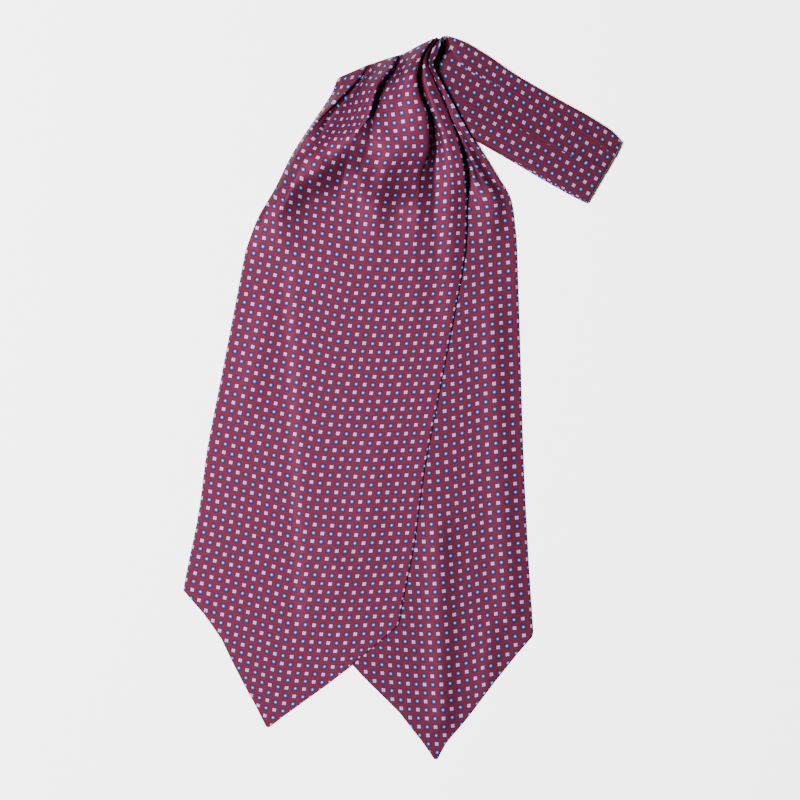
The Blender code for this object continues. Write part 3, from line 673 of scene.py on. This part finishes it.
# across one run, all the way round: strip, share of the strip, distance past it in mm,
# height over the run's inner face in mm
bandProfile = (
    (0, 0, 0.25, 0.0), (0, 0, -0.10, 0.18), (0, 0, -0.12, 0.42), (0, 0, 0.14, 0.58),
    (0, 0, -0.12, 0.74), (0, 0, -0.12, 1.02), (0, 0, 0.14, 1.18), (0, 0, -0.12, 1.34),
    (0, 0, -0.12, 1.72), (0, 0, 0.12, 1.98), (0, 0, 0.8, 2.14), (0, 0.15, 0, 2.22),
    (0, 0.35, 0, 2.26), (0, 0.55, 0, 2.30), (0, 0.75, 0, 2.38), (0, 1, -2.4, 2.52),
    (0, 1, -1.0, 2.62), (0, 1, -0.3, 2.58), (0, 1, 0.05, 2.38), (0, 1, -0.1, 2.16),
    (0, 1, -0.8, 2.06), (0, 1, -2.2, 2.02), (1, 0, -2.0, 1.80), (1, 0, -0.5, 1.82),
    (1, 0, 0.8, 1.86), (1, 0.2, 0, 1.96), (1, 0.4, 0, 2.04), (1, 0.6, 0, 2.12),
    (1, 0.8, 0, 2.24), (1, 1, -2.0, 2.44), (1, 1, -1.0, 2.54), (1, 1, -0.3, 2.50),
    (1, 1, 0.05, 2.32), (1, 1, -0.1, 2.12), (1, 1, -0.8, 2.02), (1, 1, -2.2, 1.98),
    (2, 0, -2.0, 1.76), (2, 0, -0.5, 1.78), (2, 0, 0.8, 1.82), (2, 0.15, 0, 1.90),
    (2, 0.3, 0, 1.96), (2, 0.5, 0, 2.0), (2, 0.7, 0, 2.0), (2, 1, -2.4, 1.94),
    (2, 1, -0.8, 1.82), (2, 1, -0.1, 1.60), (2, 1, 0.1, 1.36), (2, 1, 0.06, 1.12),
    (2, 1, -0.16, 0.98), (2, 1, 0.08, 0.84), (2, 1, 0.08, 0.52), (2, 1, -0.16, 0.40),
    (2, 1, 0.06, 0.28), (2, 1, 0.0, 0.08), (2, 1, -0.3, 0.0), (2, 0.66, 0, 0.0),
    (2, 0.33, 0, 0.0), (1, 1, 0, 0.0), (1, 0.5, 0, 0.0), (0, 1, 0, 0.0), (0, 0.5, 0, 0.0),
)
# the print on each strip: a motif's place, its row's slope and bend in degrees, repeats in
# mm, skew in degrees, and the row number that a motif has there
bandPrint = (
    ((109.9, 202.3), -30.5, 0.19, 5.86, 5.68, 9.2, 0),
    ((93.3, 185.2), -32.3, -0.22, 5.77, 5.93, 7.9, 0),
    ((93.3, 161.3), -28.5, -0.14, 5.72, 5.85, 1.0, 1),
)


def bandPrintPlace(strip, plan):
    # the print's i, j at places in mm, found in a few rounds because its rows bend
    origin, slope, bend, alongRepeat, acrossRepeat, skew, first = bandPrint[strip]
    slope, bend, skew = math.radians(slope), math.radians(bend), math.radians(skew)
    off = plan - np.array(origin)
    i, j = np.zeros(len(plan)), np.zeros(len(plan))
    for _ in range(6):
        turn = slope + bend * i
        rowX = alongRepeat * (i * np.cos(slope) - bend * i * i / 2 * np.sin(slope))
        rowY = alongRepeat * (i * np.sin(slope) + bend * i * i / 2 * np.cos(slope))
        downX, downY = np.cos(turn - np.pi / 2 + skew), np.sin(turn - np.pi / 2 + skew)
        missX = off[:, 0] - rowX - acrossRepeat * j * downX
        missY = off[:, 1] - rowY - acrossRepeat * j * downY
        sideX, sideY = np.cos(turn), np.sin(turn)
        cross = sideX * downY - sideY * downX
        i = i + (missX * downY - missY * downX) / cross / alongRepeat
        j = j + (sideX * missY - sideY * missX) / cross / acrossRepeat
    return np.stack((i + first, j), axis=1)


def bandLines(start, foldLine, depth, along):
    # the band's four lines from the blade's seam to the centre back, finely spaced
    point = np.array(foldLine[0])
    run = np.array(foldLine[1])
    first = [start] + [point + run * a + foldInward * (depth + neckband["seamGap"])
                       for a in along]
    stations = np.array([[tuple(p) for p in first]] + [list(s) for s in neckband["stations"]])
    flat = stations.reshape(len(stations), -1)
    fine = smoothAlong(flat, [neckband["faces"]] * (len(stations) - 1))
    return fine.reshape(-1, 4, 2)


def bandPlan(lines, proud):
    # the profile's places in mm across four lines of the band
    strips = np.array([p[0] for p in bandProfile])
    shares = np.array([p[1] for p in bandProfile])[:, None]
    past = np.array([p[2] for p in bandProfile])[:, None]
    lines = lines.copy()
    lines[3] += proud * unit(lines[3] - lines[2])
    step = lines[strips + 1] - lines[strips]
    return lines[strips] + step * shares + unit(step) * past


def makeNeckband():
    upper = bandLines(neckband["upperStart"], rearBlade["foldLine"], rearBlade["seamDepth"],
                      neckband["upperSeam"])
    lower = bandLines(neckband["lowerStart"], frontBlade["foldLine"],
                      frontBlade["seamDepth"], neckband["lowerSeam"])
    rise = np.array([p[3] for p in bandProfile])
    floor, lowTop = neckband["upperFloor"], neckband["lowerTop"]
    end = np.array(neckband["stations"][-1])
    across = unit(end[3] - end[0])
    outward = np.array((-across[1], across[0]))
    sections, prints = [], []
    strips = np.array([p[0] for p in bandProfile])

    def printOf(plan, unfolded):
        at = np.empty((len(plan), 2))
        for strip in range(3):
            pick = strips == strip
            at[pick] = bandPrintPlace(strip, (plan + outward * unfolded[:, None])[pick])
        return at

    for n, lines in enumerate(upper):
        plan = bandPlan(lines, 0)
        free = np.clip(n / neckband["faces"], 0, 1)
        lid = neckband["pressed"] + (rise.max() - neckband["pressed"]) * free
        high = np.minimum(rise, lid)
        sections.append(np.column_stack((plan, floor + high)))
        prints.append(printOf(plan, np.zeros(len(plan))))
    lowRise = rise * lowTop / rise.max()
    upperEnd, lowerEnd = bandPlan(end, 0), bandPlan(end, neckband["lowerProud"])
    reach, gap = neckband["bendReach"], floor - lowTop
    for angle in np.radians(neckband["bendAngles"]):
        mix = (1 - math.sin(angle)) / 2
        plan = upperEnd * (1 - mix) + lowerEnd * mix
        radius = gap / 2 + (rise * (1 - mix) + lowRise * mix)
        centre = lowTop + gap / 2
        bulge = np.cos(angle) * radius * reach / (gap / 2 + rise.max())
        place = plan + outward * bulge[:, None]
        sections.append(np.column_stack((place, centre + radius * math.sin(angle))))
        prints.append(printOf(plan, np.full(len(plan), (math.pi / 2 - angle) * reach)))
    for lines in lower[::-1]:
        plan = bandPlan(lines, neckband["lowerProud"])
        sections.append(np.column_stack((plan, lowTop - lowRise)))
        back = (lowerEnd - plan) @ outward
        prints.append(printOf(plan, math.pi * reach + 2 * back))
    sections, prints = np.array(sections), np.array(prints)
    rows, columns = sections.shape[:2]
    index = np.arange(rows * columns).reshape(rows, columns)
    turned = np.roll(index, -1, axis=1)
    walls = np.stack((index[:-1], turned[:-1], turned[1:], index[1:]), axis=-1)
    faces = walls.reshape(-1, 4).tolist()
    faces.append(index[0, ::-1].tolist())
    faces.append(index[-1].tolist())
    return meshPiece("band_cloth", sections.reshape(-1, 3), faces, prints.reshape(-1, 2))


frontCloth = makeFrontBlade()
frontCloth.data.materials.append(silkMaterial("printed silk, front", frontBlade["toneAndShade"]))
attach(frontCloth, "root")
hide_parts("front_blade")
print("front blade:", len(frontCloth.data.polygons), "faces")

rearCloth = makeRearBlade()
rearCloth.data.materials.append(silkMaterial("printed silk, rear", rearBlade["toneAndShade"]))
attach(rearCloth, "root")
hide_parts("rear_blade")
print("rear blade:", len(rearCloth.data.polygons), "faces")

bandCloth = makeNeckband()
bandCloth.data.materials.append(silkMaterial("printed silk, band", neckband["toneAndShade"]))
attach(bandCloth, "root")
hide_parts("neckband")
print("neckband:", len(bandCloth.data.polygons), "faces")

# floor, light and camera, in metres
studio = {
    "floor": (0.93, 0.93, 0.93, 1.0),
    "floorHalf": 3.0,
    "floorHeight": -0.0001,                # just under the cravat, so that the two don't meet
    "floorRoughness": 0.9,
    "keyPlace": (-1.45, 0.30, 2.95),       # a wide window at the upper left
    "keyPower": 630.0,
    "keySize": 0.80,
    "fillPower": 0.13,                     # light from all round
    "cameraPlace": (-0.00295, -0.00245, 1.556),    # straight above
    "lens": 100.0,
    "sensor": 36.0,
}


def makeStudio():
    mesh = bpy.data.meshes.new("floor")
    h, z = studio["floorHalf"], studio["floorHeight"]
    mesh.from_pydata([(-h, -h, z), (h, -h, z), (h, h, z), (-h, h, z)], [], [(0, 1, 2, 3)])
    floor = bpy.data.objects.new("floor", mesh)
    bpy.context.collection.objects.link(floor)
    paper = bpy.data.materials.new("white paper")
    paper.use_nodes = True
    look = paper.node_tree.nodes["Principled BSDF"].inputs
    look["Base Color"].default_value = studio["floor"]
    look["Roughness"].default_value = studio["floorRoughness"]
    mesh.materials.append(paper)
    lamp = bpy.data.lights.new("window", "AREA")
    lamp.energy, lamp.size = studio["keyPower"], studio["keySize"]
    key = bpy.data.objects.new("window", lamp)
    key.location = studio["keyPlace"]
    aim = -Vector(studio["keyPlace"])
    key.rotation_euler = aim.to_track_quat("-Z", "Y").to_euler()
    bpy.context.collection.objects.link(key)
    world = bpy.data.worlds.new("room")
    world.use_nodes = True
    sky = world.node_tree.nodes["Background"].inputs
    sky["Color"].default_value = (1, 1, 1, 1)
    sky["Strength"].default_value = studio["fillPower"]
    bpy.context.scene.world = world
    lens = bpy.data.cameras.new("camera")
    lens.lens, lens.sensor_width = studio["lens"], studio["sensor"]
    camera = bpy.data.objects.new("camera", lens)
    camera.location = studio["cameraPlace"]
    bpy.context.collection.objects.link(camera)
    bpy.context.scene.camera = camera


makeStudio()
print("studio: floor, one window, camera")
